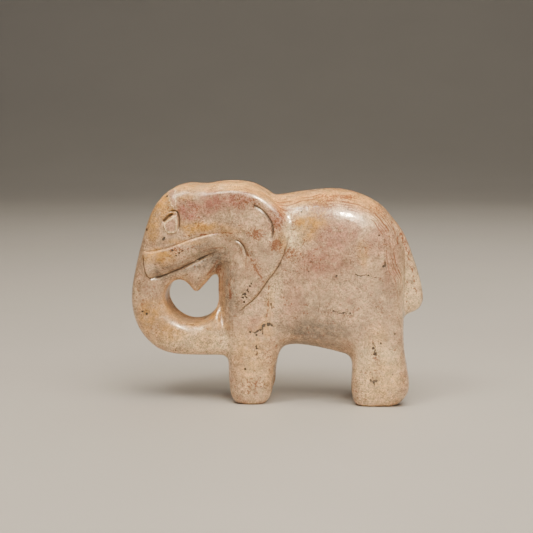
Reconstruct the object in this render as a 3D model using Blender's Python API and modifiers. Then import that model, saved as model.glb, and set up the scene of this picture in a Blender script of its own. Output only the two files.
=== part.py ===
"""A carved soapstone elephant that stands on four short legs, its trunk curled back to its chest.

Metres, +Z up. The head points to -X and the tail to +X, and both sides of the XZ plane are alike. The
origin is on the floor under the middle of the figure.

It is made as its carver would: blanks are sawn to their side outlines and given their widths, the body
is run together and rounded, the ears, tusks and tail are laid on it, the eyes and the folds of the ears
are cut, and the feet are ground flat.
"""

from collections import namedtuple

import bmesh
import bpy
import numpy as np
from mathutils import Vector

MM = 0.001
LENGTH = 127.0 * MM
HEIGHT = 95.6 * MM

# Half widths of the blanks, across the figure, and the radius that their edges are rounded to.
BARREL_HALF_WIDTH = 16.0 * MM
BARREL_EDGE = 12.0 * MM
CHEST_HALF_WIDTH = 17.4 * MM
CHEST_EDGE = 8.0 * MM
HEAD_HALF_WIDTH = 15.4 * MM
HEAD_EDGE = 5.5 * MM
EAR_HALF_WIDTH = 19.0 * MM
EAR_EDGE = 2.4 * MM
TUSK_HALF_WIDTH = 16.4 * MM
TUSK_EDGE = 3.6 * MM
TAIL_HALF_WIDTH = 7.5 * MM
TAIL_EDGE = 3.2 * MM
FRONT_LEG_OUTSIDE = 18.0 * MM
REAR_LEG_OUTSIDE = 19.4 * MM
LEG_GAP = 9.0 * MM
LEG_EDGE = 5.8 * MM

# The stone is roughed out in three stages, each with a finer grain and less polishing than the last.
TORSO_GRAIN = 1.1 * MM
TORSO_POLISH = 36
HEAD_GRAIN = 0.9 * MM
HEAD_POLISH = 8
DETAIL_GRAIN = 0.7 * MM
DETAIL_POLISH = 3
FACETS = 9700

# Side outlines, in millimetres: x towards the tail, z above the floor. A third value makes a corner.
HEAD_AND_TRUNK = (
    (-63.5, 46), (-61.6, 58.4), (-59.8, 65.5), (-56.9, 75.5), (-54.1, 83.1), (-49.5, 89.7),
    (-44.6, 93.2), (-38.5, 94.9), (-32, 94.3), (-25, 95.5), (-18, 95.8), (-11, 94.7), (-5.5, 92),
    (-1, 88.5), (1, 82), (0, 65), (-3, 40), (-7, 24), (-14, 20.5), (-24, 20.3), (-34.8, 20.2),
    (-45.3, 20.6), (-53.0, 23.3), (-57.6, 27.8), (-60.8, 32.7), (-62.8, 39),
)
HEART_HOLE = (
    (-48.6, 45), (-47.4, 49.8), (-44.6, 52.9), (-41.4, 53.5), (-38.4, 51.3), (-35.2, 47.0, "corner"),
    (-31.6, 50.8), (-28.2, 54.8), (-25.6, 56.9), (-24.9, 52), (-25.1, 45), (-26.9, 39.9), (-30.7, 36.0),
    (-36.5, 34.5), (-42.6, 36.3), (-46.7, 40.3),
)
BARREL = (
    (-8, 88.4), (3, 90.3), (12, 91.9), (22, 92.9), (31, 92.2), (38, 90.0), (44, 86.8), (49.8, 81),
    (53.7, 73.4), (55.5, 64), (56.0, 52), (55.3, 36), (50, 25), (41, 20.4), (31.6, 20.6), (24.6, 22.1),
    (17.7, 23.7), (10.7, 24.6), (0, 24.9), (-12, 28), (-18, 42), (-19, 64), (-15, 80),
)
CHEST = (
    (-25.2, 57), (-25.4, 45), (-24, 35), (-22, 27), (-18, 20.6), (-9, 19.4), (0, 21), (3.4, 28),
    (3.8, 38), (1.6, 52), (-2.4, 66), (-10, 75), (-19, 74), (-24, 66),
)
FRONT_LEG = (
    (-16.6, -0.8), (-20.0, 2.8), (-20.8, 8), (-21.0, 15), (-21.4, 24), (-20, 36), (-12, 44), (-3, 40),
    (2.8, 30), (2.0, 23.5), (0.1, 16), (-0.9, 10), (-1.2, 4.0), (-5.2, -0.8), (-11, -1.3),
)
REAR_LEG = (
    (35.6, -0.8), (32.9, 2.8), (32.7, 9), (33.0, 20), (32.5, 31), (34, 45), (38.5, 58), (45.5, 65),
    (52, 63), (55.2, 55), (55.5, 44), (55.5, 34), (55.8, 26), (56.8, 18), (58.2, 11.5), (58.3, 6.4),
    (55.6, 2.0), (51, -0.7), (44, -1.4),
)
EAR = (
    (6.0, 73.5), (5.5, 78.6), (3.4, 83.2), (-0.4, 87.2), (-5.4, 90.8), (-10.8, 93.2), (-17, 94.0),
    (-24.5, 93.4), (-30.5, 91.4), (-33.5, 85), (-31.0, 76), (-24.0, 73.4), (-17.6, 72.0), (-14.6, 70.2),
    (-12.8, 66.5), (-13.6, 61.5), (-18.4, 57), (-23.2, 51), (-23.4, 44), (-20, 39.6), (-16.2, 39.0),
    (-12.2, 43.0), (-8.7, 46.2), (-5.8, 49.8), (-2.9, 54.1), (1.1, 59.3), (3.6, 64.1), (5.4, 68.7),
)
TUSK = (
    (-57.8, 66.0), (-58.2, 61), (-57.2, 56.6), (-54.8, 54.1), (-51.5, 54.0), (-48, 55.2), (-42, 57.8),
    (-35, 61.2), (-28, 64.7), (-20.5, 68.2), (-15.5, 71.0), (-17, 74.4), (-24, 75.2), (-29.5, 74.3),
    (-36, 72.5), (-43, 69.8), (-50.5, 67.5),
)
TAIL = (
    (43.5, 83), (49.5, 80.6), (54.1, 75.2), (56.8, 70.3), (59.3, 63.6), (61.7, 56.6), (63.3, 50),
    (63.9, 45.8), (63.1, 42.1), (60.6, 40.0), (57.6, 38.9), (55.0, 37.8), (51, 42), (50, 60), (45, 74),
)

# Swells and waists of the blanks: a point of the side, how far they reach from it along x and z, and
# the share that they add to the width.
BARREL_SWELLS = (((28, 57), (23, 32), 0.31), ((2, 60), (9, 60), -0.02))
CHEST_SWELLS = (((-14, 72), (14, 12), -0.10),)
HEAD_SWELLS = (
    ((-36, 52), (30, 12), -0.18), ((-48, 20), (28, 18), -0.22), ((-66, 52), (10, 30), -0.10),
    ((-54, 94), (16, 12), -0.12),
)
FRONT_LEG_SWELLS = (((-10, 56), (40, 22), -0.14),)
REAR_LEG_SWELLS = (((50, 72), (40, 24), -0.21),)
EAR_SWELLS = (((-35, 84), (17, 26), -0.21), ((-27, 52), (13, 20), -0.21), ((2, 76), (12, 30), 0.02))
TUSK_SWELLS = (((-12, 75), (14, 9), -0.12), ((-40, 56), (40, 7), 0.03))

# What is cut on each side: the outline of the eye, the line over the tusk, the hem of the ear, and the
# fold inside its rear rim, which runs from top to bottom with the dished side on its right.
EYE = (
    (-42.2, 84.0), (-41.0, 79.8), (-41.2, 76.6), (-42.8, 74.2), (-45.6, 73.3), (-47.8, 75.4), (-48.6, 78.8),
    (-46.0, 81.4), (-42.2, 84.0),
)
TUSK_LINE = ((-58.0, 67.0), (-50, 68.0), (-43.1, 70.4), (-36.1, 73), (-29.2, 74.8), (-23.6, 75.6))
EAR_HEM = ((1.1, 59.2), (-2.9, 54.2), (-5.8, 49.7), (-8.7, 46.2), (-12.2, 43.3), (-16.2, 39.7))
GROOVES = (
    (EYE, 0.8 * MM, 0.9 * MM),
    (TUSK_LINE, 0.9 * MM, 0.4 * MM),
    (EAR_HEM, 0.9 * MM, 0.7 * MM),
)
EAR_FOLD = ((-10.5, 88.6), (-6.0, 86.0), (-2.6, 82.0), (-0.8, 78.2), (-0.4, 74.4), (-1.2, 69.6))
FOLD_DEPTH = 1.4 * MM
FOLD_DISH = 8.0 * MM
FOLD_CUT = 1.2 * MM

# Edges that the sides fall back to: the lower edge of the tusk, the front of the chest and of the leg, and
# the lower edge of the belly. The stone that falls back is on the left of each.
TUSK_LOWER_EDGE = (
    (-54.8, 54.1), (-51.5, 54.0), (-48, 55.2), (-42, 57.8), (-35, 61.2), (-28, 64.7), (-20.5, 68.2),
)
CHEST_FRONT = ((-25.2, 64), (-25.2, 45), (-24.2, 35), (-23, 28))
LEG_FRONT = ((-24, 36), (-22, 27), (-21, 15), (-20.8, 2))
BELLY_EDGE = ((-1, 24.6), (10.7, 24.6), (17.7, 23.7), (24.6, 22.1), (34, 20.6))

# For each, how far back from the edge the fall begins, how deep it is at the edge, and the shares of the
# edge's length over which it starts and ends.
FALLS = (
    (TUSK_LOWER_EDGE, 11.0 * MM, 4.2 * MM, 0.05, 0.45),
    (CHEST_FRONT, 11.0 * MM, 4.5 * MM, 0.15, 0.3),
    (LEG_FRONT, 8.0 * MM, 2.2 * MM, 0.3, 0.1),
    (BELLY_EDGE, 16.0 * MM, 2.0 * MM, 0.2, 0.2),
)
FALL_EDGE = 0.6 * MM

# Hollows in both sides: the middle, how far they reach from it along x and z, and the depth. This one is
# the cheek, where the tusk comes out from under the ear.
HOLLOWS = (((-26, 62), (8, 7), 2.4 * MM),)
CORE_HALF_WIDTH = 4.0 * MM
CORE_EDGE = 8.0 * MM

Blank = namedtuple("Blank", "name outlines half_width edge swells middle", defaults=((), 0.0))


def legs(name, outline, outside, swells):
    """The blanks of two legs of that side outline, with the gap between them."""
    half_width = (outside - LEG_GAP / 2) / 2
    middle = (outside + LEG_GAP / 2) / 2
    return [
        Blank(f"{name}_{side}", (outline,), half_width, LEG_EDGE, swells, middle * side) for side in (-1, 1)
    ]


TORSO_BLANKS = (
    Blank("barrel", (BARREL,), BARREL_HALF_WIDTH, BARREL_EDGE, BARREL_SWELLS),
    Blank("chest", (CHEST,), CHEST_HALF_WIDTH, CHEST_EDGE, CHEST_SWELLS),
    *legs("front_leg", FRONT_LEG, FRONT_LEG_OUTSIDE, FRONT_LEG_SWELLS),
    *legs("rear_leg", REAR_LEG, REAR_LEG_OUTSIDE, REAR_LEG_SWELLS),
)
HEAD_BLANKS = (
    Blank("head", (HEAD_AND_TRUNK, HEART_HOLE), HEAD_HALF_WIDTH, HEAD_EDGE, HEAD_SWELLS),
)
DETAIL_BLANKS = (
    Blank("ears", (EAR,), EAR_HALF_WIDTH, EAR_EDGE, EAR_SWELLS),
    Blank("tusks", (TUSK,), TUSK_HALF_WIDTH, TUSK_EDGE, TUSK_SWELLS),
    Blank("tail", (TAIL,), TAIL_HALF_WIDTH, TAIL_EDGE),
)


def clear_scene():
    for thing in list(bpy.data.objects):
        bpy.data.objects.remove(thing)


def soapstone():
    material = bpy.data.materials.new("soapstone")
    material.use_nodes = True
    shader = material.node_tree.nodes["Principled BSDF"]
    shader.inputs["Base Color"].default_value = (0.60, 0.45, 0.33, 1)
    shader.inputs["Roughness"].default_value = 0.32
    shader.inputs["Metallic"].default_value = 0.0
    return material


def points_of(mesh):
    flat = np.empty(len(mesh.vertices) * 3)
    mesh.vertices.foreach_get("co", flat)
    return flat.reshape(-1, 3)


def put_points(mesh, points):
    mesh.vertices.foreach_set("co", points.ravel())
    mesh.update()


def baked(thing, name):
    """A plain mesh object of the shape that thing shows, in its place."""
    bpy.context.view_layer.update()
    graph = bpy.context.evaluated_depsgraph_get()
    mesh = bpy.data.meshes.new_from_object(thing.evaluated_get(graph))
    mesh.transform(thing.matrix_world)
    bpy.data.objects.remove(thing)
    result = bpy.data.objects.new(name, mesh)
    bpy.context.scene.collection.objects.link(result)
    return result


def regrained(thing, grain):
    """The shape as one even skin, without what crosses inside it."""
    remesh = thing.modifiers.new("grain", "REMESH")
    remesh.mode = "VOXEL"
    remesh.voxel_size = grain
    return baked(thing, thing.name)


def polished(thing, passes):
    smooth = thing.modifiers.new("polish", "SMOOTH")
    smooth.iterations = passes
    return baked(thing, thing.name)


def widened(points, swells):
    """The points moved outwards or inwards by the smooth swells."""
    share = np.ones(len(points))
    for (x, z), (reach_x, reach_z), amount in swells:
        along = (points[:, 0] / MM - x) / reach_x
        up = (points[:, 2] / MM - z) / reach_z
        share += amount * np.exp(-along**2 - up**2)
    return points * np.stack([np.ones_like(share), share, np.ones_like(share)], axis=1)


def sawn(blank):
    """The blank sawn to its side outline and rounded. Any outline after the first is a hole."""
    curve = bpy.data.curves.new(blank.name, "CURVE")
    curve.dimensions = "2D"
    curve.fill_mode = "BOTH"
    curve.extrude = blank.half_width - blank.edge
    curve.bevel_depth = blank.edge
    curve.bevel_resolution = 5
    curve.offset = -blank.edge
    curve.resolution_u = 6
    for outline in blank.outlines:
        spline = curve.splines.new("BEZIER")
        spline.bezier_points.add(len(outline) - 1)
        for point, (x, z, *corner) in zip(spline.bezier_points, outline):
            point.co = (x * MM, z * MM, 0)
            point.handle_left_type = "VECTOR" if corner else "AUTO"
            point.handle_right_type = point.handle_left_type
        spline.use_cyclic_u = True
    thing = bpy.data.objects.new(blank.name, curve)
    bpy.context.scene.collection.objects.link(thing)
    thing.rotation_euler.x = np.pi / 2
    thing.location.y = blank.middle
    thing = regrained(thing, HEAD_GRAIN)
    put_points(thing.data, widened(points_of(thing.data), blank.swells))
    return thing


def run_together(things, grain):
    with bpy.context.temp_override(active_object=things[0], selected_editable_objects=things):
        bpy.ops.object.join()
    return regrained(things[0], grain)


def side_of_path(points, path):
    """For each point, seen from the side: its distance from the path, whether it lies on the right of
    it, and how far along the path it is, from 0 to 1."""
    path = np.array(path) * MM
    flat = points[:, [0, 2]]
    lengths = np.linalg.norm(path[1:] - path[:-1], axis=1)
    nearest = np.full(len(points), np.inf)
    right = np.zeros(len(points), bool)
    share = np.zeros(len(points))
    for start, end, before in zip(path, path[1:], np.cumsum(lengths) - lengths):
        run = end - start
        along = np.clip((flat - start) @ run / (run @ run), 0, 1)
        offset = flat - start - along[:, None] * run
        gap = np.linalg.norm(offset, axis=1)
        closer = gap < nearest
        nearest[closer] = gap[closer]
        right[closer] = (run[0] * offset[:, 1] - run[1] * offset[:, 0] < 0)[closer]
        share[closer] = ((before + along * np.linalg.norm(run)) / lengths.sum())[closer]
    return nearest, right, share


def smooth_step(value):
    value = np.clip(value, 0, 1)
    return value * value * (3 - 2 * value)


def let_sides_fall_back(stone):
    """Rounds both sides back to their edges and hollows them. The core of the stone stays as it is."""
    points = points_of(stone.data)
    depth = np.zeros(len(points))
    for path, reach, deepest, start, end in FALLS:
        gap, right, share = side_of_path(points, path)
        gap = np.where(right, -gap, gap)
        ends = smooth_step(share / start) * smooth_step((1 - share) / end)
        edge = smooth_step(0.5 + gap / (2 * FALL_EDGE))
        depth += edge * ends * np.clip(1 - gap / reach, 0, 1) ** 2 * deepest
    for (x, z), (reach_x, reach_z), deepest in HOLLOWS:
        along = (points[:, 0] / MM - x) / reach_x
        up = (points[:, 2] / MM - z) / reach_z
        depth += deepest * np.exp(-along**2 - up**2)
    depth *= smooth_step((np.abs(points[:, 1]) - CORE_HALF_WIDTH) / CORE_EDGE)
    points[:, 1] -= np.sign(points[:, 1]) * depth
    put_points(stone.data, points)


def carve(stone):
    """Cuts the grooves into both sides and dishes the ears inside their rear rims."""
    points = points_of(stone.data)
    depth = np.zeros(len(points))
    for path, half_width, deepest in GROOVES:
        gap, _, _ = side_of_path(points, path)
        depth = np.maximum(depth, deepest * np.exp(-((gap / half_width) ** 2)))
    gap, dished, share = side_of_path(points, EAR_FOLD)
    ends = smooth_step(9 * share) * smooth_step(3 - 3 * share)
    depth += dished * ends * smooth_step(gap / FOLD_CUT) * smooth_step(1 - gap / FOLD_DISH) * FOLD_DEPTH
    on_side = np.abs(points[:, 1]) > HEAD_HALF_WIDTH - HEAD_EDGE / 2
    points[:, 1] -= np.sign(points[:, 1]) * on_side * depth
    put_points(stone.data, points)


def reduce_facets(stone):
    decimate = stone.modifiers.new("facets", "DECIMATE")
    decimate.ratio = FACETS / (2 * len(stone.data.polygons))
    return baked(stone, stone.name)


def grind_feet(stone):
    """Cuts off what reaches below the floor and closes the soles."""
    shape = bmesh.new()
    shape.from_mesh(stone.data)
    everything = shape.verts[:] + shape.edges[:] + shape.faces[:]
    cut = bmesh.ops.bisect_plane(
        shape, geom=everything, plane_co=Vector(), plane_no=Vector((0, 0, -1)), clear_outer=True
    )
    rims = [item for item in cut["geom_cut"] if isinstance(item, bmesh.types.BMEdge)]
    bmesh.ops.holes_fill(shape, edges=rims)
    bmesh.ops.triangulate(shape, faces=[face for face in shape.faces if len(face.verts) > 3])
    shape.to_mesh(stone.data)
    shape.free()


def bring_to_size(stone):
    """Gives the stone its length and height, with the origin on the floor under its middle."""
    points = points_of(stone.data)
    low, high = points.min(0), points.max(0)
    points -= (low + high) / 2 * [1, 1, 0] + low * [0, 0, 1]
    points *= np.array([LENGTH, 1, HEIGHT]) / np.array([high[0] - low[0], 1, high[2] - low[2]])
    put_points(stone.data, points)


def build_elephant():
    stone = polished(run_together([*map(sawn, TORSO_BLANKS)], TORSO_GRAIN), TORSO_POLISH)
    stone = polished(run_together([stone, *map(sawn, HEAD_BLANKS)], HEAD_GRAIN), HEAD_POLISH)
    stone = run_together([stone, *map(sawn, DETAIL_BLANKS)], DETAIL_GRAIN)
    stone.name = "elephant"
    let_sides_fall_back(stone)
    carve(stone)
    stone = reduce_facets(polished(stone, DETAIL_POLISH))
    grind_feet(stone)
    bring_to_size(stone)
    stone.data.materials.clear()
    stone.data.materials.append(soapstone())
    stone.data.shade_smooth()
    stone.data.set_sharp_from_angle(angle=np.radians(40))
    collection = bpy.data.collections.new("elephant_figurine")
    bpy.context.scene.collection.children.link(collection)
    collection.objects.link(stone)
    bpy.context.scene.collection.objects.unlink(stone)


clear_scene()
build_elephant()
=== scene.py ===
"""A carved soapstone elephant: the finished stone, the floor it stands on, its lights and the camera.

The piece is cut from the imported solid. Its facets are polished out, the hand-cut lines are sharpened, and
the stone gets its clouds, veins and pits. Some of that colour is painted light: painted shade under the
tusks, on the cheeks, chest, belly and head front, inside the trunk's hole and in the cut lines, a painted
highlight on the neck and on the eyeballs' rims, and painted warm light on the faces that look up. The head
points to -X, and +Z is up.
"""

from math import cos, radians, sin

import bpy
import numpy as np
from bpy.props import FloatProperty, FloatVectorProperty, IntProperty, PointerProperty
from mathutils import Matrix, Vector


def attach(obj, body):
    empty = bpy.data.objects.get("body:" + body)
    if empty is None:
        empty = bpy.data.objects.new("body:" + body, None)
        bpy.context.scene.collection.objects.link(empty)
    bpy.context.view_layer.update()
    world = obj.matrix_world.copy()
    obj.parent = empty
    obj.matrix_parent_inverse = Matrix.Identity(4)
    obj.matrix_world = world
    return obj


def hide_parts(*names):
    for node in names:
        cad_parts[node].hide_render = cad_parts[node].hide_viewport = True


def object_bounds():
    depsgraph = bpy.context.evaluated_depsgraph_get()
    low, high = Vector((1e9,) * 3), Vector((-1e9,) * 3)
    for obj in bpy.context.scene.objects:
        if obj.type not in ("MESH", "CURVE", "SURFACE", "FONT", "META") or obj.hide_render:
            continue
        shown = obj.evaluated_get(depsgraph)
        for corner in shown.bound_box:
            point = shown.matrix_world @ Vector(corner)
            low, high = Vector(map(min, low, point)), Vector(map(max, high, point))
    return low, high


bl_info = {
    "name": "Carved Soapstone Elephant",
    "version": (1, 0, 0),
    "blender": (4, 5, 0),
    "location": "3D View > Sidebar > Elephant",
    "description": "Carves and polishes a soapstone elephant and sets its stage",
    "category": "Add Mesh",
}

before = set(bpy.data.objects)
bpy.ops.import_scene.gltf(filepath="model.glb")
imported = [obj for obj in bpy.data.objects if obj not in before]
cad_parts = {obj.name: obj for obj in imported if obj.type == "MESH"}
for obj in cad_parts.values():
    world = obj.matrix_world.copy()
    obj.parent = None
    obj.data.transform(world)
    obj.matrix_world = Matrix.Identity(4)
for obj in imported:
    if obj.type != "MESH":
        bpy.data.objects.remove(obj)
CAD_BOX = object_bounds()

MM = 0.001
SOLID = "elephant"

# Lines that are cut into both sides: (x, z) in millimetres, seen from the figure's left side. The points
# of the tusk, the ear's rear, its fold and its front were picked on the photo in pixels, and a separate
# program worked out these millimetres from them.
EYEBALL = (
    (-42.5, 82.2), (-42.1, 78.5), (-42.2, 74.6), (-44.8, 73.8), (-47.5, 74.4), (-48.9, 77.9), (-47.4, 79.6),
    (-45.6, 80.7), (-42.5, 82.2),
)
EYE_LID = ((-48.6, 78.6), (-47.0, 80.5), (-45.2, 81.8), (-43.4, 82.7))
EYE_REAR = (
    (-46.4, 82.9), (-44.8, 83.7), (-43.0, 83.9), (-41.9, 82.4), (-41.5, 79.5), (-41.7, 76.6), (-42.3, 74.6),
)
TUSK_TOP = (
    (-57.9, 66.1), (-49.9, 66.8), (-43.4, 69.1), (-36.4, 71.9), (-29.5, 73.7), (-23.9, 74.7), (-15.8, 74.7),
)
TUSK_END = ((-57.5, 64.2), (-57.1, 58.3), (-56.0, 55.3), (-54.3, 54.0))
TUSK_BOTTOM = ((-54.3, 54.0), (-48.4, 55.4), (-42.4, 58.0), (-35.4, 61.5), (-28.5, 65.0), (-20.5, 68.5))
EAR_REAR = (
    (-5.7, 91.1), (-0.7, 87.2), (3.2, 82.8), (5.2, 78.4), (5.7, 73.5), (4.9, 68.6), (3.2, 64.1),
    (0.8, 59.2), (-3.2, 54.2), (-6.1, 49.7), (-9.0, 46.2), (-12.5, 43.5), (-16.5, 39.7),
)
EAR_FOLD = (
    (-10.2, 87.3), (-5.6, 84.9), (-2.7, 81.3), (-1.2, 78.4), (-0.9, 75.4), (-1.4, 72.4), (-1.8, 70.0),
)
EAR_FRONT = ((-18.1, 71.9), (-14.9, 70.4), (-13.2, 67.6), (-12.4, 62.5))
TAIL_CREASE = ((54.4, 73.0), (55.2, 66.0), (55.4, 56.0), (55.2, 46.0), (54.8, 39.5))
TAIL_CREASE_DEPTH = 0.35 * MM

# The mesh is divided this near to the lines, then again, but nowhere this near to the middle plane.
FINE_REACHES = (1.4 * MM, 0.75 * MM)
CORE_HALF_WIDTH = 3 * MM

# Each eyeball swells by less than this height. It is highest just inside its outline, and it sinks from
# there until it is this far in.
RIM_HEIGHT = 0.5 * MM
RIM_WIDTH = 1.6 * MM

# The depth that the groove attribute shows as full.
FULL_GROOVE = 0.5 * MM

# Length of the waves in the hand-worked faces.
WAVE_LENGTH = 13 * MM

# The soles are ground off by this depth, which fades out over this height.
SOLE_GRIND = 0.25 * MM
SOLE_REACH = 4 * MM

# Clouds of colour on the side that faces the camera: (x, z), how far they reach, and their strength.
# Some of them are painted light and shade, as marked below.
CLOUDS = {
    "ochre": (
        ((-48, 86), (8, 8), 0.9), ((-33, 77), (12, 4), 0.95), ((-38, 91), (7, 4), 0.5),
        ((-50, 64), (10, 5), 1.0), ((-55, 39), (8, 9), 0.7), ((-46, 31), (12, 7), 0.6),
        ((-26, 39), (5, 6), 0.7), ((18, 85), (8, 6), 0.55), ((14, 77), (6, 8), 0.7),
        ((37, 66), (4, 10), 0.4), ((-4, 34), (5, 8), 0.55), ((-2, 44), (3, 9), 0.4),
        ((2, 71), (4, 7), 0.5), ((-8, 18), (6, 9), 0.4), ((-31, 28), (8, 6), 0.3),
        ((-40, 71), (14, 2), 0.5), ((10, 82), (7, 8), 0.4), ((-30, 34), (16, 3), 0.5),
        ((-10, 22), (12, 20), 0.45), ((-52, 36), (14, 14), 0.45), ((46, 12), (14, 16), 0.45),
        ((44, 30), (8, 10), 0.3), ((-3, 12), (5, 10), 0.35), ((14, 80), (12, 5), 0.9),
        # The ochre cloud at (-53, 78) darkens the front of the head: painted shade.
        ((19, 85), (9, 4), 0.9), ((-53, 78), (6, 12), 0.7), ((-24, 76), (16, 4), 0.4),
    ),
    "mauve": (
        ((-37, 84), (10, 8), 0.9), ((-27, 88), (8, 8), 0.9), ((-17, 89), (14, 6), 0.8),
        ((1, 83), (6, 10), 0.7), ((25, 74), (14, 14), 0.6), ((20, 63), (18, 10), 0.6),
        ((32, 77), (8, 10), 0.5), ((44, 72), (10, 10), 0.45), ((7, 46), (8, 14), 0.35),
        ((-9, 36), (5, 4), 0.5), ((9, 90), (18, 5), 0.45), ((-45, 78), (4, 5), 0.4),
        ((49, 62), (5, 16), 0.35), ((24, 90), (18, 4), 0.6), ((36, 86), (12, 5), 0.5),
    ),
    # The pale cloud at (8, 80), on the neck behind the ear, is a painted highlight. The pale bands along the
    # top of the back and the head make the tops lighter.
    "pale": (
        ((44, 16), (14, 22), 0.8), ((-9, 14), (8, 18), 0.5), ((-32, 27), (26, 9), 0.6),
        ((58, 48), (7, 20), 0.6), ((8, 80), (8, 22), 0.9), ((20, 92), (60, 7), 0.5),
        ((-28, 96), (34, 5), 0.6), ((0, 50), (6, 12), 0.4), ((38, 82), (14, 8), 0.3),
    ),
    # The grey clouds are partly cool stone and partly painted shade: under the tusks, on the cheek, down the
    # chest, on the lower flank and the belly, and on the front of the head.
    "grey": (
        ((48, 50), (10, 16), 0.35), ((18, 33), (24, 8), 0.9), ((-21, 79), (9, 7), 0.3),
        ((-5, 66), (9, 9), 0.2), ((-30, 69), (10, 4), 0.5), ((16, 43), (14, 9), 0.4),
        ((-48, 71), (9, 4), 0.5), ((-31, 59), (8, 5), 0.4), ((-20, 50), (7, 20), 0.8),
        ((-27, 63), (11, 9), 1.0), ((-40, 59.5), (14, 4), 0.9), ((-50, 56.5), (8, 4), 0.9),
        ((-31, 64), (8, 3.5), 0.9), ((-53, 82), (8, 14), 0.6), ((-40, 91), (12, 5), 0.3),
        ((-44, 86), (7, 4), 0.5), ((16, 27), (20, 5), 0.8),
    ),
}

# The same clouds on the far side: their size, where they start and are full, and their strength.
FAR_CLOUDS = {
    "pale": (20.0, 0.46, 0.62, 0.7),
    "ochre": (12.0, 0.55, 0.7, 0.45),
    "mauve": (18.0, 0.48, 0.62, 0.5),
    "grey": (15.0, 0.55, 0.7, 0.25),
}

# Red-brown patches on the side that faces the camera: (x, z), how far they reach, and their strength.
RUST = (
    ((-8, 75), (6, 4), 1.0), ((1, 80), (4, 9), 0.7), ((0, 70), (4, 4), 1.0), ((6, 66), (6, 5), 0.8),
    ((21, 84), (7, 5), 0.6), ((-24.5, 59), (2, 3), 0.6), ((-18, 89), (9, 3), 0.4),
    ((-34, 85), (4, 3), 0.5), ((22, 90), (9, 3), 0.5), ((38, 69), (7, 6), 0.3), ((-12, 88), (12, 4), 0.5),
    ((8, 82), (5, 8), 0.6), ((20, 86), (10, 3), 0.9), ((28, 90), (14, 2), 0.8), ((44, 84), (8, 4), 0.6),
    ((-43, 67), (5, 3), 0.8), ((-3, 20), (4, 8), 0.4), ((43, 18), (6, 10), 0.4), ((-8, 60), (5, 6), 0.5),
    ((-9, 9), (6, 6), 0.5),
)

# Veins on that side: their width, and the points that they run through.
RUST_VEINS = (
    (0.8, ((-12, 66), (-9, 61), (-5, 54))),
    (0.5, ((-41, 73), (-30, 74), (-15, 75))),
    (0.4, ((-25, 58), (-25, 50), (-27, 42))),
    (0.5, ((-3, 52), (-3, 44), (-4, 38))),
    (0.5, ((-13, 12), (-9, 9), (-7, 12))),
    (0.5, ((-12, 5), (-8, 9))),
    (0.7, ((53.5, 74), (56.5, 66), (58.5, 57), (60.3, 48))),
    (0.4, ((-49, 63), (-42, 66), (-34, 69))),
    (0.5, ((44, 86), (50, 78), (53, 68))),
)

# Cracks on that side, filled with dirt.
CRACKS = (
    (0.8, ((-9, 32), (-6.5, 33), (-5, 35.2), (-2.5, 35.8), (-1, 34.6))),
    (0.6, ((-5.8, 35), (-5.5, 31))),
    (0.9, ((42.2, 28), (43, 23))),
    (0.8, ((41.5, 13.5), (42.6, 10.5), (43.4, 12))),
    (0.6, ((46.3, 62.5), (47.5, 59))),
    (0.6, ((-13.8, 45), (-12.8, 48.5), (-10.8, 52.5))),
    (0.4, ((24.5, 42.3), (27, 40.8), (30, 41.5), (33, 39.9))),
    (0.4, ((33.5, 58.5), (36, 56.8), (39, 57.8), (43.5, 56.0))),
    (0.5, ((-8.5, 26), (-8, 22))),
    (0.4, ((-2, 47), (-1.6, 42))),
)

# Single pits on that side: x, z and radius.
PITS = (
    (-44.5, 67.0, 0.6), (-41.5, 65.8, 0.5), (-14, 47, 0.65), (-13, 48.6, 0.75), (-12.1, 50.2, 0.5),
    (-11, 52, 0.55), (-13.5, 45, 0.6), (-12.4, 47.2, 0.5), (-11.4, 49.8, 0.45), (-13.9, 48.4, 0.4),
    (-10.4, 53.1, 0.4), (-56.5, 84.5, 0.5), (-55.8, 75.5, 0.6), (-48.5, 71.5, 0.6), (-40.2, 66.9, 0.4),
    (-43, 64.6, 0.45), (-31.5, 62, 0.4), (-8, 31, 0.6), (-6.5, 33, 0.7), (-5, 35, 0.8), (-3, 35.5, 1.0),
    (-1.5, 35, 0.6), (-11, 32, 0.6), (-8, 25, 0.6), (-13, 16, 0.6), (42, 26, 0.7), (42.7, 23.5, 0.8),
    (41, 12, 0.7), (42.3, 11, 0.6), (45, 28, 0.5), (51, 32, 0.5), (46, 61, 0.7), (11, 84, 0.5),
    (44, 74, 0.4), (25, 42, 0.6), (29, 41, 0.5), (32, 41, 0.5), (26, 57, 0.5), (-48, 72, 0.7),
    (-58, 40, 0.5), (-56, 39, 0.6), (-47, 90, 0.5),
)

# How far each mark covers the colour under it. The crown's share lays painted warm light over warmer stone,
# the hole's share lays painted shade, and the soil's share darkens the cut lines with painted shade.
CROWN_AND_TOP_LIGHT_SHARE = 0.65
HOLE_SHADE_SHARE = 0.3
LAYER_SHARE = 0.9
FLECK_SHARE = 0.65
RUST_SHARE = 0.85
GROOVE_SHADE_SHARE = 0.75

# The trunk's hole, seen from the side: its middle, how far the painted shade on its walls reaches, and that
# shade's strength.
HOLE = ((-37.0, 45.0), (17.0, 17.0), 1.0)

# The stone's optics.
STONE_OPTICS = {
    "IOR": 1.54,
    "Specular IOR Level": 0.3,
    "Coat Roughness": 0.11,
    "Subsurface Weight": 0.15,
    "Subsurface Radius": (1.0, 0.6, 0.4),
}

# Colours of the lights and of the even light from all round, the point that the lights face, and how far
# they are from it.
WARM = (1.0, 0.78, 0.52)
SOFT = (1.0, 0.90, 0.75)
SKY = (0.8, 0.92, 1.0)
LIGHT_DISTANCE = 0.9
LIGHT_TARGET = (0, 0, 0.05)

# The floor, and the sweep that it makes behind the figure.
FLOOR_SIZE = 4.0
SWEEP_HEIGHT = 2.5
SWEEP_RADIUS = 0.9
SWEEP_STEPS = 16

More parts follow.
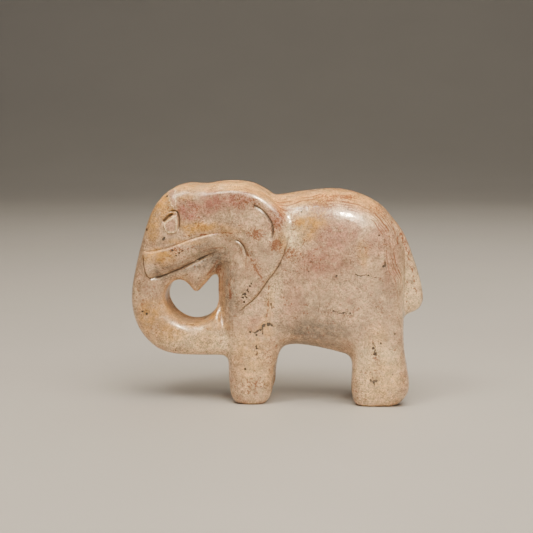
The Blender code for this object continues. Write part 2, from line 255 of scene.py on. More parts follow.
# What the camera looks at, in millimetres, and the width of its sensor, in the same.
CAMERA_TARGET = (-4.89, -0.3, 58.4)
SENSOR_WIDTH = 36.0


class ElephantCarving(bpy.types.PropertyGroup):
    """Sizes of the carving."""

    grain: FloatProperty(
        name="Grain", description="Spacing of the points that the stone is cut to", default=0.88 * MM,
        min=0.5 * MM, unit="LENGTH",
    )
    polish: IntProperty(
        name="Polish", description="Passes that smooth the facets away", default=12, min=0,
    )
    waviness: FloatProperty(
        name="Waviness", description="How far the hand-worked faces swell and dip", default=0.35 * MM,
        unit="LENGTH",
    )
    eye_depth: FloatProperty(
        name="Eye depth", description="Depth of the lines around each eye", default=0.75 * MM, unit="LENGTH",
    )
    tusk_depth: FloatProperty(
        name="Tusk depth", description="Depth of the lines around each tusk", default=0.6 * MM, unit="LENGTH",
    )
    ear_depth: FloatProperty(
        name="Ear depth", description="Depth of the line behind each ear", default=0.5 * MM, unit="LENGTH",
    )
    fold_depth: FloatProperty(
        name="Fold depth", description="Depth of the folds in the ears", default=0.8 * MM, unit="LENGTH",
    )


def tint(name, description, default):
    return FloatVectorProperty(
        name=name, description=description, subtype="COLOR", size=3, min=0.0, max=1.0, default=default,
    )


class ElephantStone(bpy.types.PropertyGroup):
    """Colours and surface of the stone."""

    cream: tint("Cream", "Ground colour of the stone", (0.62, 0.43, 0.27))
    fawn: tint("Fawn", "The other tone of the ground", (0.49, 0.33, 0.21))
    # Pale also paints the highlight on the neck, through the pale clouds.
    pale: tint("Pale", "Pale flecks of the ground", (0.93, 0.72, 0.43))
    ochre: tint("Ochre", "Yellow clouds", (0.56, 0.295, 0.075))
    # Crown paints warm light on the faces that look up, over the stone's warmer top layers.
    crown_and_top_light: tint("Crown", "Warm stone of the back and the top of the head", (0.84, 0.41, 0.09))
    mauve: tint("Mauve", "Pinkish clouds", (0.40, 0.17, 0.125))
    # Grey is also the painted shade under the tusks, on the cheeks, chest, belly and the front of the head.
    grey: tint("Grey", "Cool, darker clouds", (0.26, 0.20, 0.15))
    rust: tint("Rust", "Veins and specks", (0.22, 0.06, 0.02))
    # Soil fills the pits, and darkens the cut lines as painted shade.
    soil_and_shade: tint("Soil", "What fills the pits and the cut lines", (0.04, 0.022, 0.012))
    mottle: FloatProperty(
        name="Mottling", description="How strongly the fine grain shows", default=1.0, min=0.0, max=2.0,
        subtype="FACTOR",
    )
    gloss: FloatProperty(
        name="Roughness", description="Roughness of the polished stone", default=0.36, min=0.0, max=1.0,
        subtype="FACTOR",
    )
    glow: FloatProperty(
        name="Depth of light", description="How far light travels in the stone", default=1.2 * MM, min=0.0,
        unit="LENGTH",
    )


class ElephantStage(bpy.types.PropertyGroup):
    """Floor, lights and camera."""

    floor: tint("Floor", "Colour of the floor and of the sweep behind it", (0.42, 0.41, 0.40))
    surround: FloatProperty(
        name="Surround", description="Strength of the even light from all round", default=0.06, min=0.0,
    )
    right_light: FloatProperty(
        name="Right light", description="Power of the wide light high on the right", default=12.5, min=0.0,
        unit="POWER",
    )
    left_light: FloatProperty(
        name="Left light", description="Power of the soft light high on the left", default=3.6, min=0.0,
        unit="POWER",
    )
    top_light: FloatProperty(
        name="Top light", description="Power of the warm light overhead", default=5.2, min=0.0, unit="POWER",
    )
    back_light: FloatProperty(
        name="Back light", description="Power of the light behind the figure", default=3.5, min=0.0,
        unit="POWER",
    )
    glint: FloatProperty(
        name="Glint", description="Power of the lights that only shine in the polish", default=60.0, min=0.0,
        unit="POWER",
    )
    camera_height: FloatProperty(
        name="Camera height", description="Angle of the camera above the level", default=radians(7.0),
        subtype="ANGLE",
    )
    camera_turn: FloatProperty(
        name="Camera turn", description="Angle of the camera round the figure, towards its tail",
        default=radians(3.5), subtype="ANGLE",
    )
    camera_distance: FloatProperty(
        name="Camera distance", description="From the camera to the figure", default=0.7, unit="LENGTH",
    )
    focal_length: FloatProperty(
        name="Focal length", description="Focal length of the camera", default=107.95, unit="CAMERA",
    )


def pick_only(thing):
    bpy.ops.object.select_all(action="DESELECT")
    thing.select_set(True)
    bpy.context.view_layer.objects.active = thing


def points_of(thing):
    flat = np.empty(len(thing.data.vertices) * 3)
    thing.data.vertices.foreach_get("co", flat)
    return flat.reshape(-1, 3)


def put_points(thing, points):
    thing.data.vertices.foreach_set("co", points.ravel())
    thing.data.update()


def normals_of(thing):
    flat = np.empty(len(thing.data.vertices) * 3)
    thing.data.vertex_normals.foreach_get("vector", flat)
    return flat.reshape(-1, 3)


def worked(thing, kind, **settings):
    """Puts the result of one modifier into the mesh."""
    modifier = thing.modifiers.new(kind.lower(), kind)
    for name, value in settings.items():
        setattr(modifier, name, value)
    pick_only(thing)
    bpy.ops.object.modifier_apply(modifier=modifier.name)


def side_of_path(points, path):
    """For each point, seen from the side: its signed distance from the path, above zero on the path's
    right, and how far along the path it is, from 0 to 1."""
    path = np.array(path) * MM
    flat = points[:, [0, 2]]
    lengths = np.linalg.norm(path[1:] - path[:-1], axis=1)
    nearest = np.full(len(points), np.inf)
    right = np.zeros(len(points), bool)
    share = np.zeros(len(points))
    for start, end, before in zip(path, path[1:], np.cumsum(lengths) - lengths):
        run = end - start
        along = np.clip((flat - start) @ run / (run @ run), 0, 1)
        offset = flat - start - along[:, None] * run
        gap = np.linalg.norm(offset, axis=1)
        closer = gap < nearest
        nearest[closer] = gap[closer]
        right[closer] = (run[0] * offset[:, 1] - run[1] * offset[:, 0] < 0)[closer]
        share[closer] = ((before + along * np.linalg.norm(run)) / lengths.sum())[closer]
    return np.where(right, nearest, -nearest), share


def smooth_step(value):
    value = np.clip(value, 0, 1)
    return value * value * (3 - 2 * value)


def eased(path, rounds=3):
    """The path with its corners rounded."""
    path = np.array(path)
    for _ in range(rounds):
        ahead = 0.75 * path[:-1] + 0.25 * path[1:]
        behind = 0.25 * path[:-1] + 0.75 * path[1:]
        path = np.concatenate([path[:1], np.stack([ahead, behind], 1).reshape(-1, 2), path[-1:]])
    return path


class Cut:
    """One line of the carver's knife: a path, its depth, how wide it opens on its left and on its right, the
    height and place of the lip that it raises, and the shares of its length over which it starts and ends.
    Widths and lips are in millimetres, and a lip's place is above zero on the left."""

    def __init__(self, path, depth, left, right, lip=0.0, lip_at=0.0, start=0.0, end=0.0):
        self.path = eased(path)
        self.depth = depth
        self.left = left * MM
        self.right = right * MM
        self.lip = lip * MM
        self.lip_at = lip_at * MM
        self.start = start
        self.end = end

    def on(self, points):
        """How deep the line is at each point, and the height of the lip there."""
        gap, share = side_of_path(points, self.path)
        fade = np.ones(len(points))
        if self.start:
            fade *= smooth_step(share / self.start)
        if self.end:
            fade *= smooth_step((1 - share) / self.end)
        width = np.where(gap > 0, self.right, self.left)
        depth = self.depth * np.exp(-((gap / width) ** 2))
        lip = self.lip * np.exp(-(((gap + self.lip_at) / (0.6 * self.lip_at + 1e-6)) ** 2))
        return depth * fade, lip * fade


def cuts_of(sizes):
    return (
        Cut(EYE_LID, 1.3 * sizes.eye_depth, left=0.9, right=0.3, start=0.15, end=0.3),
        Cut(EYE_REAR, 1.2 * sizes.eye_depth, left=0.4, right=0.3, start=0.15, end=0.25),
        Cut(
            TUSK_TOP, 0.7 * sizes.tusk_depth, left=0.4, right=0.3, lip=0.3, lip_at=-0.9, start=0.05, end=0.45,
        ),
        Cut(TUSK_END, sizes.tusk_depth, left=0.4, right=0.4, start=0.1),
        Cut(TUSK_BOTTOM, sizes.tusk_depth, left=0.5, right=0.4, end=0.4),
        Cut(EAR_REAR, sizes.ear_depth, left=0.5, right=0.4, start=0.6, end=0.05),
        Cut(EAR_FOLD, sizes.fold_depth, left=0.35, right=0.8, lip=0.12, lip_at=-1.3, start=0.1, end=0.25),
        Cut(
            EAR_FRONT, 0.8 * sizes.fold_depth, left=0.35, right=0.3, lip=0.35, lip_at=-0.9, start=0.15,
            end=0.4,
        ),
        Cut(TAIL_CREASE, TAIL_CREASE_DEPTH, left=0.5, right=0.5, start=0.2, end=0.1),
    )


def near_cuts(centres, cuts, reach):
    """Which of the faces lie within that reach of a line or of the eyeballs' outline."""
    near = np.zeros(len(centres), bool)
    for path in [cut.path for cut in cuts] + [eased(EYEBALL, 1)]:
        gap, _ = side_of_path(centres, path)
        near |= np.abs(gap) < reach
    return near & (np.abs(centres[:, 1]) > CORE_HALF_WIDTH)


def refine(stone, cuts, reach):
    """Divides the faces near the lines, so that they can be cut crisp."""
    mesh = stone.data
    centres = np.empty(len(mesh.polygons) * 3)
    mesh.polygons.foreach_get("center", centres)
    centres = centres.reshape(-1, 3)
    facing = np.empty(len(mesh.polygons) * 3)
    mesh.polygons.foreach_get("normal", facing)
    outward = facing.reshape(-1, 3)[:, 1] * np.sign(centres[:, 1]) > 0.2
    chosen = near_cuts(centres, cuts, reach) & outward
    pick_only(stone)
    bpy.ops.object.mode_set(mode="EDIT")
    bpy.ops.mesh.select_mode(type="FACE")
    bpy.ops.mesh.select_all(action="DESELECT")
    bpy.ops.object.mode_set(mode="OBJECT")
    mesh.polygons.foreach_set("select", chosen)
    bpy.ops.object.mode_set(mode="EDIT")
    bpy.ops.mesh.subdivide(number_cuts=1, ngon=False)
    bpy.ops.object.mode_set(mode="OBJECT")


class ELEPHANT_OT_carve(bpy.types.Operator):
    """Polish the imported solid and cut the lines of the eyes, tusks, ears and tail"""

    bl_idname = "elephant.carve"
    bl_label = "Carve the elephant"

    def execute(self, context):
        sizes = context.scene.elephant_carving
        stone = bpy.data.objects.new("carved_elephant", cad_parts[SOLID].data.copy())
        context.scene.collection.objects.link(stone)
        pick_only(stone)
        bpy.ops.object.mode_set(mode="EDIT")
        bpy.ops.mesh.select_all(action="SELECT")
        bpy.ops.mesh.remove_doubles(threshold=0.001 * MM)
        bpy.ops.mesh.normals_make_consistent()
        bpy.ops.object.mode_set(mode="OBJECT")
        worked(stone, "REMESH", mode="VOXEL", voxel_size=sizes.grain)
        worked(stone, "SMOOTH", factor=0.5, iterations=sizes.polish)
        waves = bpy.data.textures.new("hand_work", "CLOUDS")
        waves.noise_scale = WAVE_LENGTH
        worked(
            stone, "DISPLACE", texture=waves, texture_coords="LOCAL", strength=sizes.waviness, mid_level=0.5,
        )
        cuts = cuts_of(sizes)
        for reach in FINE_REACHES:
            refine(stone, cuts, reach)
        self.cut(stone, cuts)
        self.fit(stone)
        stone.data.materials.clear()
        pick_only(stone)
        bpy.ops.object.shade_smooth()
        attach(stone, "root")
        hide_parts(SOLID)
        return {"FINISHED"}

    def cut(self, stone, cuts):
        """Moves the points in along their normals, and keeps how deep each lies in a line and in an eye."""
        points = points_of(stone)
        normals = normals_of(stone)
        side = smooth_step((normals[:, 1] * np.sign(points[:, 1]) - 0.1) / 0.3)
        depth = np.zeros(len(points))
        lips = np.zeros(len(points))
        for each in cuts:
            line, lip = each.on(points)
            depth = np.maximum(depth, line * side)
            lips = np.maximum(lips, lip * side)
        inward, _ = side_of_path(points, eased(EYEBALL, 1))
        eyeball = np.clip(inward / RIM_WIDTH, 0, 1) * side
        lips = np.maximum(lips, smooth_step(3 * eyeball) * (1 - 0.6 * eyeball) * RIM_HEIGHT)
        points += normals * (lips - depth)[:, None]
        put_points(stone, points)
        for name, values in (("groove", depth / FULL_GROOVE), ("eyeball", eyeball)):
            layer = stone.data.attributes.new(name, "FLOAT", "POINT")
            layer.data.foreach_set("value", np.clip(values, 0, 1))

    def fit(self, stone):
        """Brings the stone back to the frame's box and grinds its soles flat."""
        points = points_of(stone)
        low, high = (np.array(corner) for corner in CAD_BOX)
        size = points.max(0) - points.min(0)
        points = (points - points.min(0)) / size * (high - low) + low
        points[:, 2] -= SOLE_GRIND * smooth_step(1 - points[:, 2] / SOLE_REACH)
        points[:, 2] = np.maximum(points[:, 2], 0)
        put_points(stone, points)


class Graph:
    """The node tree of one material."""

    def __init__(self, material):
        material.use_nodes = True
        self.tree = material.node_tree
        self.tree.nodes.clear()

    def node(self, kind, settings=None, values=None, output=0):
        """Adds a node, sets it up, then fills its sockets, and gives one of its outputs."""
        node = self.tree.nodes.new(kind)
        for name, value in (settings or {}).items():
            if name == "stops":
                self.stop_ramp(node.color_ramp, value)
            else:
                setattr(node, name, value)
        for name, value in (values or {}).items():
            self.plug(node.inputs[name], value)
        return Wire(self, node.outputs[output]) if node.outputs else None

    def plug(self, socket, value):
        if isinstance(value, Wire):
            self.tree.links.new(value.socket, socket)
        else:
            socket.default_value = value

    def stop_ramp(self, ramp, stops):
        while len(ramp.elements) < len(stops):
            ramp.elements.new(1.0)
        for element, (position, colour) in zip(ramp.elements, stops):
            element.position = position
            element.color = (*colour, 1.0)

    def blend(self, factor, low, high):
        """The colour low where factor is 0, and high where it is 1."""
        return self.node(
            "ShaderNodeMix", {"data_type": "RGBA"}, {0: factor, 6: opaque(low), 7: opaque(high)}, output=2,
        )


def opaque(colour):
    return colour if isinstance(colour, Wire) else (*colour, 1.0)


class Wire:
    """A socket that can be used in sums. Each sum adds the node that works it out."""

    def __init__(self, graph, socket):
        self.graph = graph
        self.socket = socket

    def sum(self, operation, first, second):
        wires = [each for each in (first, second) if isinstance(each, Wire)]
        if any(each.socket.type == "VECTOR" for each in wires):
            first, second = (
                each if isinstance(each, (Wire, tuple)) else (each,) * 3 for each in (first, second)
            )
            return self.graph.node("ShaderNodeVectorMath", {"operation": operation}, {0: first, 1: second})
        return self.graph.node("ShaderNodeMath", {"operation": operation}, {0: first, 1: second})

    def __add__(self, other):
        return self.sum("ADD", self, other)

    __radd__ = __add__

    def __sub__(self, other):
        return self.sum("SUBTRACT", self, other)

    def __rsub__(self, other):
        return self.sum("SUBTRACT", other, self)

    def __mul__(self, other):
        return self.sum("MULTIPLY", self, other)

    __rmul__ = __mul__

    def __truediv__(self, other):
        return self.sum("DIVIDE", self, other)

    def __abs__(self):
        return self.graph.node("ShaderNodeMath", {"operation": "ABSOLUTE"}, {0: self})

    def most(self, other):
        return self.sum("MAXIMUM", self, other)

    def length(self):
        return self.graph.node("ShaderNodeVectorMath", {"operation": "LENGTH"}, {0: self}, output=1)

    def rise(self, start, end, low=0.0, high=1.0):
        """Goes smoothly from low to high while this goes from start to end."""
        return self.graph.node(
            "ShaderNodeMapRange",
            {"interpolation_type": "SMOOTHSTEP"},
            {"Value": self, "From Min": start, "From Max": end, "To Min": low, "To Max": high},
        )


class ELEPHANT_OT_finish_stone(bpy.types.Operator):
    """Give the stone its clouds, veins, pits and polish, and its painted shade and highlights"""

    bl_idname = "elephant.finish_stone"
    bl_label = "Finish the stone"

    def execute(self, context):
        look = context.scene.elephant_stone
        material = bpy.data.materials.new("soapstone")
        self.graph = Graph(material)
        self.place = self.graph.node("ShaderNodeTexCoord", output="Object") * (1 / MM)
        self.bent = self.place + self.shake(9.0, 7.0) + self.shake(2.0, 2.6)
        self.x, self.y, self.z = (
            self.graph.node("ShaderNodeSeparateXYZ", {}, {"Vector": self.place}, output=axis)
            for axis in "XYZ"
        )
        self.near = self.y.rise(4.0, -6.0)
        self.far = self.y.rise(-4.0, 6.0)

        flecks = self.flecks()
        colour = self.ground(look)
        colour = self.cloud_over(look, colour)
        # The faces that look up on the back and head get painted warm light, over the stone's warmer top
        # layers.
        colour = self.graph.blend(self.crown_and_top_light() * CROWN_AND_TOP_LIGHT_SHARE, colour, tuple(look.crown_and_top_light))
        # The eyeballs' pale rims are partly a painted highlight where the rims catch the light.
        colour = self.eyes(look, colour)
        # The walls inside the trunk's hole get painted shade.
        colour = self.graph.blend(self.hole() * HOLE_SHADE_SHARE, colour, tuple(look.ochre))
        colour = self.grained(look, colour)
        colour = self.graph.blend(self.layers() * LAYER_SHARE, colour, tuple(look.rust))
        colour = self.graph.blend(flecks * FLECK_SHARE, colour, tuple(look.rust))
        colour = self.graph.blend(self.rust() * RUST_SHARE, colour, tuple(look.rust))
        pits = self.pits().most(self.dots(PITS).most(self.veins(CRACKS)) * self.near)
        # The cut lines take the dark fill by their depth: painted shade. The pits take it as their own dark.
        soil_and_shade = self.graph.node("ShaderNodeAttribute", {"attribute_name": "groove"}, output="Fac")
        colour = self.graph.blend(pits.most(soil_and_shade.rise(0.35, 1.0) * GROOVE_SHADE_SHARE), colour, tuple(look.soil_and_shade))

        grain = self.noise(0.5)
        dents = (
            (self.noise(4.0) - 0.5) * 0.14 + (self.noise(1.3, 3.0) - 0.5) * 0.09 + (grain - 0.5) * 0.02
            - pits * 0.2 - flecks * 0.03
        )
        normal = self.graph.node("ShaderNodeBump", {}, {"Distance": MM, "Height": dents})
        roughness = (self.noise(5.0, 4.0) - 0.5) * 0.25 + (grain - 0.5) * 0.1 + pits * 0.4 + look.gloss
        shader = self.graph.node(
            "ShaderNodeBsdfPrincipled",
            {},
            {
                "Base Color": colour,
                "Roughness": roughness,
                "Normal": normal,
                "Coat Weight": self.polish(),
                "Subsurface Scale": look.glow,
                **STONE_OPTICS,
            },
        )
        self.graph.node("ShaderNodeOutputMaterial", {}, {"Surface": shader})
        bpy.data.objects["carved_elephant"].data.materials.append(material)
        return {"FINISHED"}

    def noise(self, size, detail=2.0, at=None, rough=0.5):
        """Soft noise around 0.5, with features of about that many millimetres."""
        return self.graph.node(
            "ShaderNodeTexNoise",
            {},
            {"Vector": at or self.place, "Scale": 1.0 / size, "Detail": detail, "Roughness": rough},
        )

    def elsewhere(self, far):
        """The same place in another part of a noise, so that no two patterns line up."""
        return self.place + far

    def shake(self, size, far):
        """A smooth offset of up to about half of far, in millimetres, that turns over that size."""
        noise = self.graph.node(
            "ShaderNodeTexNoise",
            {},
            {"Vector": self.place, "Scale": 1.0 / size, "Detail": 3.0},
            output="Color",
        )
        return (noise - 0.5) * far

    def ground(self, look):
        """The mottled cream and fawn body of the stone."""
        mottle = self.noise(6.0, 6.0, rough=0.65) * 0.6 + self.noise(32.0, 2.0) * 0.4
        colour = self.graph.blend(mottle.rise(0.42, 0.6), tuple(look.cream), tuple(look.fawn))
        blush = self.noise(1.9, 5.0, rough=0.7).rise(0.46, 0.66)
        colour = self.graph.blend(blush * (0.4 * look.mottle), colour, tuple(look.mauve))
        pale = self.noise(2.6, 4.0, at=self.elsewhere(31.0), rough=0.65).rise(0.52, 0.68)
        colour = self.graph.blend(pale * (0.35 * look.mottle), colour, tuple(look.pale))
        return colour

    def grained(self, look, colour):
        """The colour with the fine lighter and darker grain that runs through all of the stone."""
        curls = abs(self.noise(1.7, 2.0, at=self.elsewhere(53.0)) - 0.5).rise(0.035, 0.0)
        glints = abs(self.noise(2.0, 2.0, at=self.elsewhere(71.0)) - 0.5).rise(0.03, 0.0)
        fine = (self.noise(0.6, 3.0) - 0.5) * 2.1 + (self.noise(1.5, 2.0, at=self.elsewhere(7.0)) - 0.5) * 1.0
        coarse = (self.noise(4.0, 3.0, at=self.elsewhere(91.0)) - 0.5) * 1.1
        patchy = self.noise(9.0, 2.0, at=self.elsewhere(23.0)).rise(0.35, 0.65, 0.7, 1.25)
        shade = (fine + glints * 0.2 - curls * 0.08) * patchy * look.mottle + coarse * look.mottle + 1.02
        return self.graph.node(
            "ShaderNodeVectorMath", {"operation": "SCALE"}, {"Vector": colour, "Scale": shade.most(0.25)},
        )

    def cloud_over(self, look, colour):
        """Lays the pale, grey, mauve and ochre clouds over the ground. Some pale clouds are painted
        highlight, and some grey and ochre clouds painted shade.
        """
        torn = self.noise(2.8, 5.0, rough=0.65).rise(0.34, 0.58, 0.4, 1.15)
        for name in ("pale", "grey", "mauve", "ochre"):
            size, low, high, share = FAR_CLOUDS[name]
            loose = self.noise(size, 4.0, at=self.bent).rise(low, high) * self.far * share
            mask = (self.clouds(CLOUDS[name]) * self.near).most(loose) * torn
            colour = self.graph.blend(mask, colour, tuple(getattr(look, name)))
        return colour

    def polish(self):
        """The shine, which is broken up all over and more worn on the head and trunk."""
        shine = self.noise(1.6, 3.0, at=self.elsewhere(11.0)).rise(0.38, 0.6, 0.15, 0.9)
        return shine * self.x.rise(-30.0, 8.0, 0.25, 1.0)

    def eyes(self, look, colour):
        """Pale rims, partly a painted highlight where they catch the light, and blushing middles on the
        eyeballs.
        """
        inward = self.graph.node("ShaderNodeAttribute", {"attribute_name": "eyeball"}, output="Fac")
        torn = self.noise(1.2, 3.0).rise(0.35, 0.6, 0.5, 1.0)
        blushing = self.graph.blend(0.45, tuple(look.cream), tuple(look.mauve))
        ball = self.graph.blend(inward.rise(0.35, 0.8), tuple(look.pale), blushing)
        return self.graph.blend(inward.rise(0.08, 0.3) * torn, colour, ball)

    def hole(self):
        """Painted shade on the walls of the hole inside the trunk."""
        return self.spread(HOLE, 0.8) * self.across().rise(0.75, 0.4)

    def crown_and_top_light(self):
        """Painted warm light on the faces that look up, on the back and the top of the head, over the stone's
        warmer top layers.
        """
        up = self.graph.node("ShaderNodeTexCoord", output="Normal")
        up = self.graph.node("ShaderNodeSeparateXYZ", {}, {"Vector": up}, output="Z")
        return up.rise(0.35, 0.9) * self.z.rise(50.0, 80.0) * self.noise(10.0, 4.0).rise(0.3, 0.55, 0.5, 1.0)

    def across(self):
        """How squarely the surface faces to either side, from 0 to 1."""
        facing = self.graph.node("ShaderNodeTexCoord", output="Normal")
        return abs(self.graph.node("ShaderNodeSeparateXYZ", {}, {"Vector": facing}, output="Y"))

    def spread(self, spot, soft):
        """The spot's strength in its middle and 0 beyond its reach, seen from the side."""
        (x, z), (reach_x, reach_z), strength = spot
        gap = ((self.bent - (x, 0.0, z)) * (1 / reach_x, 0.0, 1 / reach_z)).length()
        return gap.rise(1.0, soft, 0.0, strength)

    def clouds(self, spots):
        mask = self.spread(spots[0], 0.25)
        for spot in spots[1:]:
            mask = mask.most(self.spread(spot, 0.25))
        return mask

    def layers(self):
        """Thin layers of the stone, parallel to its sides, where the surface cuts across them."""
        layer = self.y + (self.noise(24.0) - 0.5) * 8.0 + (self.noise(7.0) - 0.5) * 1.2
        lines = self.graph.node(
            "ShaderNodeTexNoise", {"noise_dimensions": "1D"}, {"W": layer, "Scale": 0.85, "Detail": 3.0},
        )
        broken = self.noise(9.0, 3.0).rise(0.4, 0.6) * self.z.rise(30.0, 55.0, 0.3, 1.0)
        broken = broken * self.x.rise(-48.0, -20.0, 0.25, 1.0)
        return lines.rise(0.51, 0.59) * self.across().rise(0.97, 0.8) * broken

    def flecks(self):
        """Small red-brown flecks all over, in loose flocks."""
        flock = self.noise(13.0, 2.0).rise(0.4, 0.62, 0.2, 1.2)
        return self.noise(1.1, 3.0, at=self.elsewhere(17.0)).rise(0.59, 0.68) * flock

    def rust(self):
        """Red-brown patches and veins."""
        loose = self.noise(11.0).rise(0.58, 0.76, 0.0, 0.6) * self.far
        patches = (self.clouds(RUST) * self.near).most(loose)
        blots = self.noise(1.7, 4.0, at=self.elsewhere(37.0), rough=0.7) + patches * 0.17
        specks = self.noise(0.8, 3.0, at=self.elsewhere(43.0), rough=0.7) + patches * 0.2
        marks = (blots.rise(0.54, 0.78) * 0.42).most(specks.rise(0.62, 0.67))
        return marks.most(self.veins(RUST_VEINS) * self.near)

    def dots(self, dots):
        """Single pits at (x, z), each of that radius."""
        mask = None
        wobble = self.place + self.shake(0.9, 2.0)
        for x, z, radius in dots:
            gap = ((wobble - (x, 0.0, z)) * (1.0, 0.0, 1.0)).length().rise(1.15 * radius, 0.7 * radius)
            mask = mask.most(gap) if mask else gap
        return mask

    def veins(self, veins):
        """Thin broken lines from point to point, each of that width."""
        mask = None
        wander = self.place + self.shake(2.2, 2.6)
        for width, points in veins:
            for (x, z), (to_x, to_z) in zip(points, points[1:]):
                run = Vector((to_x - x, 0.0, to_z - z))
                offset = (wander - (x, 0.0, z)) * (1.0, 0.0, 1.0)
                along = self.graph.node(
                    "ShaderNodeVectorMath",
                    {"operation": "DOT_PRODUCT"},
                    {0: offset, 1: run / run.length_squared},
                    output=1,
                )
                along = self.graph.node("ShaderNodeClamp", {}, {"Value": along})
                foot = self.graph.node(
                    "ShaderNodeVectorMath", {"operation": "SCALE"}, {"Vector": tuple(run), "Scale": along},
                )
                line = (offset - foot).length().rise(width, 0.3 * width)
                mask = mask.most(line) if mask else line
        return mask * self.noise(1.3, 3.0, at=self.elsewhere(5.0)).rise(0.44, 0.56)

    def pits(self):
        """Small dark pits, scattered thinly over all of the stone."""
        cells = {"Vector": self.place + self.shake(0.8, 1.0), "Scale": 1 / 2.4}
        gap = self.graph.node("ShaderNodeTexVoronoi", {}, cells, output="Distance")
        chance = self.graph.node("ShaderNodeTexVoronoi", {}, cells, output="Color")
        chosen = self.graph.node("ShaderNodeSeparateColor", {}, {"Color": chance}, output="Red")
        chosen = chosen.rise(0.86, 0.9)
        size = self.graph.node("ShaderNodeSeparateColor", {}, {"Color": chance}, output="Green")
        size = size * 0.12 + 0.05
        return (size - gap).rise(0.0, 0.05) * chosen * 0.8


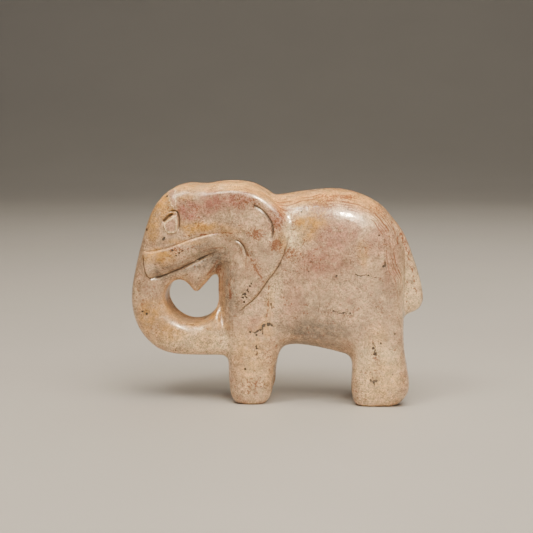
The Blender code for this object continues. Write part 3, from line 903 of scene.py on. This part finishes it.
class ELEPHANT_OT_set_stage(bpy.types.Operator):
    """Add the floor, the lights and the camera"""

    bl_idname = "elephant.set_stage"
    bl_label = "Set the stage"

    def execute(self, context):
        """Three of the lights don't show in the polish, and the two glints show nowhere else, so that the
        highlights can be placed apart from the shading."""
        stage = context.scene.elephant_stage
        self.add_floor(stage)
        self.add_light("right_light", stage.right_light, 35.0, 60.0, 0.8, SOFT).visible_glossy = False
        self.add_light("left_light", stage.left_light, -38.0, 57.0, 0.22, SOFT)
        self.add_light("top_light", stage.top_light, 10.0, 84.0, 0.5, WARM).visible_glossy = False
        self.add_light("back_light", stage.back_light, 165.0, 48.0, 0.6, SOFT).visible_glossy = False
        self.add_light("glint", stage.glint, 17.0, 43.0, 0.16, WARM).visible_diffuse = False
        self.add_light("left_glint", 0.22 * stage.glint, -40.0, 44.0, 0.3, WARM).visible_diffuse = False
        self.add_surround(context, stage)
        self.add_camera(context, stage)
        return {"FINISHED"}

    def add_floor(self, stage):
        """A level floor that sweeps up behind the figure."""
        bpy.ops.object.select_all(action="DESELECT")
        bpy.ops.mesh.primitive_plane_add(size=FLOOR_SIZE, location=(0, 0, 0))
        floor = bpy.context.object
        floor.name = "floor"
        bpy.ops.object.mode_set(mode="EDIT")
        bpy.ops.mesh.select_mode(type="EDGE")
        bpy.ops.mesh.select_all(action="DESELECT")
        bpy.ops.object.mode_set(mode="OBJECT")
        for edge in floor.data.edges:
            edge.select = all(floor.data.vertices[index].co.y > 0.4 * FLOOR_SIZE for index in edge.vertices)
        bpy.ops.object.mode_set(mode="EDIT")
        bpy.ops.mesh.extrude_region_move(TRANSFORM_OT_translate={"value": (0, 0, SWEEP_HEIGHT)})
        bpy.ops.object.mode_set(mode="OBJECT")
        worked(floor, "BEVEL", width=SWEEP_RADIUS, segments=SWEEP_STEPS, limit_method="ANGLE")
        bpy.ops.object.shade_smooth()
        material = bpy.data.materials.new("floor")
        graph = Graph(material)
        place = graph.node("ShaderNodeTexCoord", output="Object")
        grain = graph.node("ShaderNodeTexNoise", {}, {"Vector": place, "Scale": 9.0, "Detail": 4.0})
        tone = tuple(stage.floor)
        colour = graph.blend(grain.rise(0.3, 0.7), tuple(0.97 * each for each in tone), tone)
        shader = graph.node("ShaderNodeBsdfPrincipled", {}, {"Base Color": colour, "Roughness": 0.6})
        graph.node("ShaderNodeOutputMaterial", {}, {"Surface": shader})
        floor.data.materials.append(material)

    def add_light(self, name, power, turn, height, size, colour):
        """A square soft light at that turn from the shown side and at that height, both in degrees."""
        turn, height = radians(turn), radians(height)
        way = Vector((sin(turn) * cos(height), -cos(turn) * cos(height), sin(height)))
        bpy.ops.object.light_add(type="AREA", location=Vector(LIGHT_TARGET) + way * LIGHT_DISTANCE)
        light = bpy.context.object
        light.name = name
        light.rotation_euler = (-way).to_track_quat("-Z", "Y").to_euler()
        light.data.energy = power
        light.data.size = size
        light.data.color = colour
        return light

    def add_surround(self, context, stage):
        world = bpy.data.worlds.new("surround")
        world.use_nodes = True
        sky = world.node_tree.nodes["Background"]
        sky.inputs["Color"].default_value = (*SKY, 1.0)
        sky.inputs["Strength"].default_value = stage.surround
        context.scene.world = world

    def add_camera(self, context, stage):
        height, turn = stage.camera_height, stage.camera_turn
        ahead = Vector((-sin(turn) * cos(height), cos(turn) * cos(height), -sin(height)))
        bpy.ops.object.camera_add(location=Vector(CAMERA_TARGET) * MM - ahead * stage.camera_distance)
        camera = bpy.context.object
        camera.rotation_euler = ahead.to_track_quat("-Z", "Y").to_euler()
        camera.data.lens = stage.focal_length
        camera.data.sensor_width = SENSOR_WIDTH
        context.scene.camera = camera


class ELEPHANT_PT_panel(bpy.types.Panel):
    """The elephant's sizes, colours and steps"""

    bl_idname = "ELEPHANT_PT_panel"
    bl_label = "Soapstone elephant"
    bl_space_type = "VIEW_3D"
    bl_region_type = "UI"
    bl_category = "Elephant"

    def draw(self, context):
        for settings, operator in (
            (context.scene.elephant_carving, ELEPHANT_OT_carve),
            (context.scene.elephant_stone, ELEPHANT_OT_finish_stone),
            (context.scene.elephant_stage, ELEPHANT_OT_set_stage),
        ):
            box = self.layout.box()
            for name in settings.bl_rna.properties.keys():
                if name not in ("rna_type", "name"):
                    box.prop(settings, name)
            box.operator(operator.bl_idname)


CLASSES = (
    ElephantCarving,
    ElephantStone,
    ElephantStage,
    ELEPHANT_OT_carve,
    ELEPHANT_OT_finish_stone,
    ELEPHANT_OT_set_stage,
    ELEPHANT_PT_panel,
)


def register():
    for each in CLASSES:
        bpy.utils.register_class(each)
    bpy.types.Scene.elephant_carving = PointerProperty(type=ElephantCarving)
    bpy.types.Scene.elephant_stone = PointerProperty(type=ElephantStone)
    bpy.types.Scene.elephant_stage = PointerProperty(type=ElephantStage)


def unregister():
    del bpy.types.Scene.elephant_stage
    del bpy.types.Scene.elephant_stone
    del bpy.types.Scene.elephant_carving
    for each in reversed(CLASSES):
        bpy.utils.unregister_class(each)


def main():
    register()
    bpy.ops.elephant.carve()
    bpy.ops.elephant.finish_stone()
    bpy.ops.elephant.set_stage()


if __name__ == "__main__":
    main()
